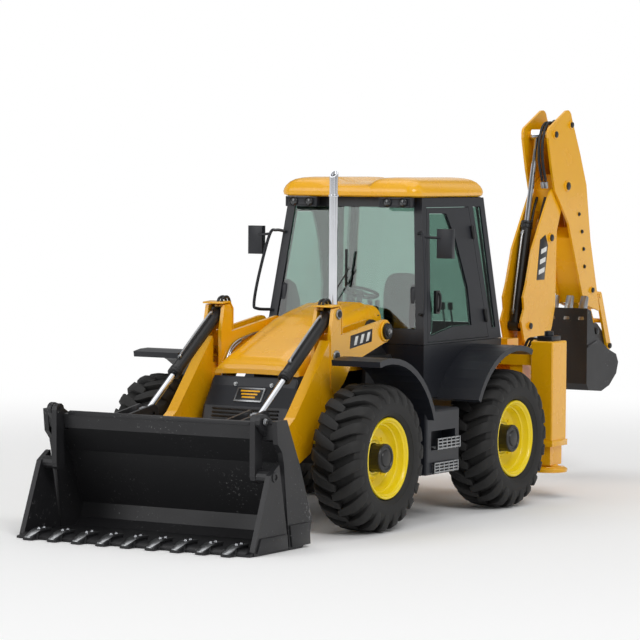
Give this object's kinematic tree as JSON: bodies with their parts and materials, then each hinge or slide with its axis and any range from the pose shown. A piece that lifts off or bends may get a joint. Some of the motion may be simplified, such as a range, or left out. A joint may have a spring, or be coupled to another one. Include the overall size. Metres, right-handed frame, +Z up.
{
  "type": "toy backhoe loader",
  "caption": "Toy backhoe loader: articulated front loader with clam bucket, glazed cab, opening bonnet and doors, and a side-shifting rear digging arm with stabilisers.",
  "frame": {"origin": "centre of the bounding box at ground level, under the wheels", "axes": "-Y towards the loader bucket (front), +Y towards the digging arm (rear), +X the machine's left side, +Z up"},
  "size_m": [0.1528, 0.4804, 0.2197],
  "materials": {
    "yellow_paint": "glossy yellow",
    "rim_yellow": "glossy lemon yellow",
    "black_plastic": "satin black",
    "frame_black": "satin black",
    "bucket_steel": "worn dark grey",
    "tyre_rubber": "matt black",
    "tinted_glass": "clear green tint",
    "chrome": "polished",
    "seat_fabric": "matt dark grey upholstery"
  },
  "bodies": {
    "chassis": {"chassis_frame": "frame_black", "rear_axle": "frame_black", "left_step_and_fender": "black_plastic", "right_step_and_fender": "black_plastic", "front_grille": "black_plastic", "cab_base": "black_plastic", "cab_frame": "black_plastic", "windscreen": "tinted_glass", "rear_window": "tinted_glass", "left_quarter_glass": "tinted_glass", "right_quarter_glass": "tinted_glass", "cab_roof": "yellow_paint", "rear_frame": "yellow_paint"},
    "front_axle": {"front_axle": "frame_black"},
    "left_knuckle": {"left_steering_knuckle": "frame_black"},
    "front_left_wheel": {"front_left_rim": "rim_yellow", "front_left_tyre": "tyre_rubber"},
    "rear_left_wheel": {"rear_left_rim": "rim_yellow", "rear_left_tyre": "tyre_rubber"},
    "right_knuckle": {"right_steering_knuckle": "frame_black"},
    "front_right_wheel": {"front_right_rim": "rim_yellow", "front_right_tyre": "tyre_rubber"},
    "rear_right_wheel": {"rear_right_rim": "rim_yellow", "rear_right_tyre": "tyre_rubber"},
    "steering_wheel": {"steering_wheel": "black_plastic"},
    "bonnet": {"bonnet": "yellow_paint", "exhaust_stack": "chrome"},
    "left_door": {"left_door": "black_plastic", "left_door_glass": "tinted_glass"},
    "left_mirror": {"left_mirror": "black_plastic"},
    "right_door": {"right_door": "black_plastic", "right_door_glass": "tinted_glass"},
    "right_mirror": {"right_mirror": "black_plastic"},
    "driver_seat": {"driver_seat": "seat_fabric"},
    "loader_arms": {"loader_arms": "yellow_paint"},
    "loader_bucket": {"loader_bucket": "bucket_steel"},
    "bucket_jaw": {"bucket_jaw": "bucket_steel"},
    "left_lift_ram_barrel": {"left_lift_ram_barrel": "black_plastic"},
    "left_lift_ram_rod": {"left_lift_ram_rod": "chrome"},
    "left_crowd_ram_barrel": {"left_crowd_ram_barrel": "black_plastic"},
    "left_crowd_ram_rod": {"left_crowd_ram_rod": "chrome"},
    "right_lift_ram_barrel": {"right_lift_ram_barrel": "black_plastic"},
    "right_lift_ram_rod": {"right_lift_ram_rod": "chrome"},
    "right_crowd_ram_barrel": {"right_crowd_ram_barrel": "black_plastic"},
    "right_crowd_ram_rod": {"right_crowd_ram_rod": "chrome"},
    "left_stabiliser": {"left_stabiliser_leg": "yellow_paint"},
    "right_stabiliser": {"right_stabiliser_leg": "yellow_paint"},
    "backhoe_carriage": {"backhoe_carriage": "yellow_paint"},
    "kingpost": {"kingpost": "yellow_paint"},
    "boom": {"boom": "yellow_paint"},
    "dipper": {"dipper": "yellow_paint"},
    "rear_bucket": {"rear_bucket": "bucket_steel"},
    "boom_ram_barrel": {"boom_ram_barrel": "black_plastic"},
    "boom_ram_rod": {"boom_ram_rod": "chrome"},
    "dipper_ram_barrel": {"dipper_ram_barrel": "black_plastic"},
    "dipper_ram_rod": {"dipper_ram_rod": "chrome"},
    "bucket_ram_barrel": {"bucket_ram_barrel": "black_plastic"},
    "bucket_ram_rod": {"bucket_ram_rod": "chrome"},
    "tipping_lever": {"tipping_lever": "yellow_paint"},
    "tipping_link": {"tipping_link": "yellow_paint"}
  },
  "joints": [
    {"name": "front_axle_rock", "type": "hinge", "parent": "chassis", "child": "front_axle", "pos_m": [0, -0.11225, 0.0378], "axis": [0, 1, 0], "range_deg": [-4, 4]},
    {"name": "left_steer", "type": "hinge", "parent": "front_axle", "child": "left_knuckle", "pos_m": [0.043, -0.11225, 0.0378], "axis": [0, 0, 1], "range_deg": [-8, 8]},
    {"name": "front_left_wheel_spin", "type": "hinge", "parent": "left_knuckle", "child": "front_left_wheel", "pos_m": [0.0622, -0.11225, 0.0378], "axis": [1, 0, 0], "continuous": true},
    {"name": "rear_left_wheel_spin", "type": "hinge", "parent": "chassis", "child": "rear_left_wheel", "pos_m": [0.0622, 0.0265, 0.0378], "axis": [1, 0, 0], "continuous": true},
    {"name": "right_steer", "type": "hinge", "parent": "front_axle", "child": "right_knuckle", "pos_m": [-0.043, -0.11225, 0.0378], "axis": [0, 0, 1], "range_deg": [-8, 8]},
    {"name": "front_right_wheel_spin", "type": "hinge", "parent": "right_knuckle", "child": "front_right_wheel", "pos_m": [-0.0622, -0.11225, 0.0378], "axis": [1, 0, 0], "continuous": true},
    {"name": "rear_right_wheel_spin", "type": "hinge", "parent": "chassis", "child": "rear_right_wheel", "pos_m": [-0.0622, 0.0265, 0.0378], "axis": [1, 0, 0], "continuous": true},
    {"name": "steering_wheel_turn", "type": "hinge", "parent": "chassis", "child": "steering_wheel", "pos_m": [0, -0.0149, 0.117], "axis": [0, 0.3359, 0.9419], "range_deg": [-45, 45]},
    {"name": "bonnet_lift", "type": "hinge", "parent": "chassis", "child": "bonnet", "pos_m": [0, -0.0397, 0.1055], "axis": [-1, 0, 0], "range_deg": [0, 30]},
    {"name": "left_door_swing", "type": "hinge", "parent": "chassis", "child": "left_door", "pos_m": [0.0504, 0.0397, 0.091], "axis": [-0.1009, -0.1513, 0.9833], "range_deg": [0, 75]},
    {"name": "left_mirror_fold", "type": "hinge", "parent": "chassis", "child": "left_mirror", "pos_m": [0.04676, -0.03244, 0.107], "axis": [-0.101, 0.1389, 0.9851], "range_deg": [-20, 40]},
    {"name": "right_door_swing", "type": "hinge", "parent": "chassis", "child": "right_door", "pos_m": [-0.0504, 0.0397, 0.091], "axis": [-0.1009, 0.1513, -0.9833], "range_deg": [0, 75]},
    {"name": "right_mirror_fold", "type": "hinge", "parent": "chassis", "child": "right_mirror", "pos_m": [-0.04676, -0.03244, 0.107], "axis": [-0.101, -0.1389, -0.9851], "range_deg": [-20, 40]},
    {"name": "seat_turn", "type": "hinge", "parent": "chassis", "child": "driver_seat", "pos_m": [0, 0.0225, 0.0848], "axis": [0, 0, 1], "range_deg": [0, 180]},
    {"name": "loader_lift", "type": "hinge", "parent": "chassis", "child": "loader_arms", "pos_m": [0, -0.0565, 0.099], "axis": [-1, 0, 0], "range_deg": [0, 45]},
    {"name": "loader_bucket_tilt", "type": "hinge", "parent": "loader_arms", "child": "loader_bucket", "pos_m": [0, -0.16255, 0.041], "axis": [1, 0, 0], "range_deg": [-30, 35]},
    {"name": "bucket_jaw_open", "type": "hinge", "parent": "loader_bucket", "child": "bucket_jaw", "pos_m": [0, -0.21355, 0.063], "axis": [-1, 0, 0], "range_deg": [0, 60]},
    {"name": "left_lift_ram_barrel_swing", "type": "hinge", "parent": "chassis", "child": "left_lift_ram_barrel", "pos_m": [0.0348, -0.0475, 0.0836], "axis": [-1, 0, 0], "range_deg": [0, 36.5]},
    {"name": "left_lift_ram_rod_slide", "type": "slide", "parent": "left_lift_ram_barrel", "child": "left_lift_ram_rod", "axis": [0, -0.9969, 0.0791], "range_m": [0, 0.0094]},
    {"name": "left_crowd_ram_barrel_swing", "type": "hinge", "parent": "loader_arms", "child": "left_crowd_ram_barrel", "pos_m": [0.0335, -0.10475, 0.1098], "axis": [1, 0, 0], "range_deg": [-1, 1]},
    {"name": "left_crowd_ram_rod_slide", "type": "slide", "parent": "left_crowd_ram_barrel", "child": "left_crowd_ram_rod", "axis": [0, -0.808, -0.5892], "range_m": [-0.0115, 0.013]},
    {"name": "right_lift_ram_barrel_swing", "type": "hinge", "parent": "chassis", "child": "right_lift_ram_barrel", "pos_m": [-0.0348, -0.0475, 0.0836], "axis": [-1, 0, 0], "range_deg": [0, 36.5]},
    {"name": "right_lift_ram_rod_slide", "type": "slide", "parent": "right_lift_ram_barrel", "child": "right_lift_ram_rod", "axis": [0, -0.9969, 0.0791], "range_m": [0, 0.0094]},
    {"name": "right_crowd_ram_barrel_swing", "type": "hinge", "parent": "loader_arms", "child": "right_crowd_ram_barrel", "pos_m": [-0.0335, -0.10475, 0.1098], "axis": [1, 0, 0], "range_deg": [-1, 1]},
    {"name": "right_crowd_ram_rod_slide", "type": "slide", "parent": "right_crowd_ram_barrel", "child": "right_crowd_ram_rod", "axis": [0, -0.808, -0.5892], "range_m": [-0.0115, 0.013]},
    {"name": "left_stabiliser_drop", "type": "slide", "parent": "chassis", "child": "left_stabiliser", "axis": [0, 0, -1], "range_m": [0, 0.0138]},
    {"name": "right_stabiliser_drop", "type": "slide", "parent": "chassis", "child": "right_stabiliser", "axis": [0, 0, -1], "range_m": [0, 0.0138]},
    {"name": "backhoe_side_shift", "type": "slide", "parent": "chassis", "child": "backhoe_carriage", "axis": [1, 0, 0], "range_m": [-0.042, 0.01]},
    {"name": "backhoe_swing", "type": "hinge", "parent": "backhoe_carriage", "child": "kingpost", "pos_m": [0.021, 0.1235, 0.044], "axis": [0, 0, 1], "range_deg": [-75, 75]},
    {"name": "boom_lower", "type": "hinge", "parent": "kingpost", "child": "boom", "pos_m": [0.021, 0.1425, 0.074], "axis": [-1, 0, 0], "range_deg": [0, 65]},
    {"name": "dipper_out", "type": "hinge", "parent": "boom", "child": "dipper", "pos_m": [0.021, 0.1739, 0.1748], "axis": [1, 0, 0], "range_deg": [0, 65]},
    {"name": "rear_bucket_open", "type": "hinge", "parent": "dipper", "child": "rear_bucket", "pos_m": [0.021, 0.2211, 0.0866], "axis": [1, 0, 0], "range_deg": [0, 70]},
    {"name": "boom_ram_barrel_swing", "type": "hinge", "parent": "kingpost", "child": "boom_ram_barrel", "pos_m": [0.0244, 0.1385, 0.09], "axis": [-1, 0, 0], "range_deg": [0, 73]},
    {"name": "boom_ram_rod_slide", "type": "slide", "parent": "boom_ram_barrel", "child": "boom_ram_rod", "axis": [0, 0.3141, 0.9494], "range_m": [0, 0.0162]},
    {"name": "dipper_ram_barrel_swing", "type": "hinge", "parent": "boom", "child": "dipper_ram_barrel", "pos_m": [0.0186, 0.1305, 0.0935], "axis": [1, 0, 0], "range_deg": [0, 9.5]},
    {"name": "dipper_ram_rod_slide", "type": "slide", "parent": "dipper_ram_barrel", "child": "dipper_ram_rod", "axis": [0, 0.2352, 0.972], "range_m": [-0.0345, 0]},
    {"name": "bucket_ram_barrel_swing", "type": "hinge", "parent": "dipper", "child": "bucket_ram_barrel", "pos_m": [0.021, 0.178, 0.211], "axis": [1, 0, 0], "range_deg": [0, 2.5]},
    {"name": "bucket_ram_rod_slide", "type": "slide", "parent": "bucket_ram_barrel", "child": "bucket_ram_rod", "axis": [0, 0.4041, -0.9147], "range_m": [-0.019, 0]},
    {"name": "tipping_lever_swing", "type": "hinge", "parent": "dipper", "child": "tipping_lever", "pos_m": [0.021, 0.208, 0.112], "axis": [1, 0, 0], "range_deg": [0, 71]},
    {"name": "tipping_link_swing", "type": "hinge", "parent": "tipping_lever", "child": "tipping_link", "pos_m": [0.021, 0.2235, 0.108], "axis": [1, 0, 0], "range_deg": [-60, 0]}
  ],
  "couplings": [
    {"joint": "right_steer", "follows": "left_steer", "ratio": 1},
    {"joint": "steering_wheel_turn", "follows": "left_steer", "ratio": 5},
    {"joint": "left_lift_ram_barrel_swing", "follows": "loader_lift", "ratio": 0.788},
    {"joint": "left_lift_ram_rod_slide", "follows": "loader_lift", "m_per_rad": 0.0114},
    {"joint": "left_crowd_ram_barrel_swing", "follows": "loader_bucket_tilt", "ratio": -0.0192},
    {"joint": "left_crowd_ram_rod_slide", "follows": "loader_bucket_tilt", "m_per_rad": 0.020351},
    {"joint": "right_lift_ram_barrel_swing", "follows": "loader_lift", "ratio": 0.788},
    {"joint": "right_lift_ram_rod_slide", "follows": "loader_lift", "m_per_rad": 0.0114},
    {"joint": "right_crowd_ram_barrel_swing", "follows": "loader_bucket_tilt", "ratio": -0.0192},
    {"joint": "right_crowd_ram_rod_slide", "follows": "loader_bucket_tilt", "m_per_rad": 0.020351},
    {"joint": "boom_ram_barrel_swing", "follows": "boom_lower", "ratio": 1.1137},
    {"joint": "boom_ram_rod_slide", "follows": "boom_lower", "m_per_rad": 0.013731},
    {"joint": "dipper_ram_barrel_swing", "follows": "dipper_out", "ratio": 0.138},
    {"joint": "dipper_ram_rod_slide", "follows": "dipper_out", "m_per_rad": -0.030015},
    {"joint": "bucket_ram_barrel_swing", "follows": "rear_bucket_open", "ratio": 0.0253},
    {"joint": "bucket_ram_rod_slide", "follows": "rear_bucket_open", "m_per_rad": -0.014905},
    {"joint": "tipping_lever_swing", "follows": "rear_bucket_open", "ratio": 1.003},
    {"joint": "tipping_link_swing", "follows": "rear_bucket_open", "ratio": -0.8445}
  ]
}
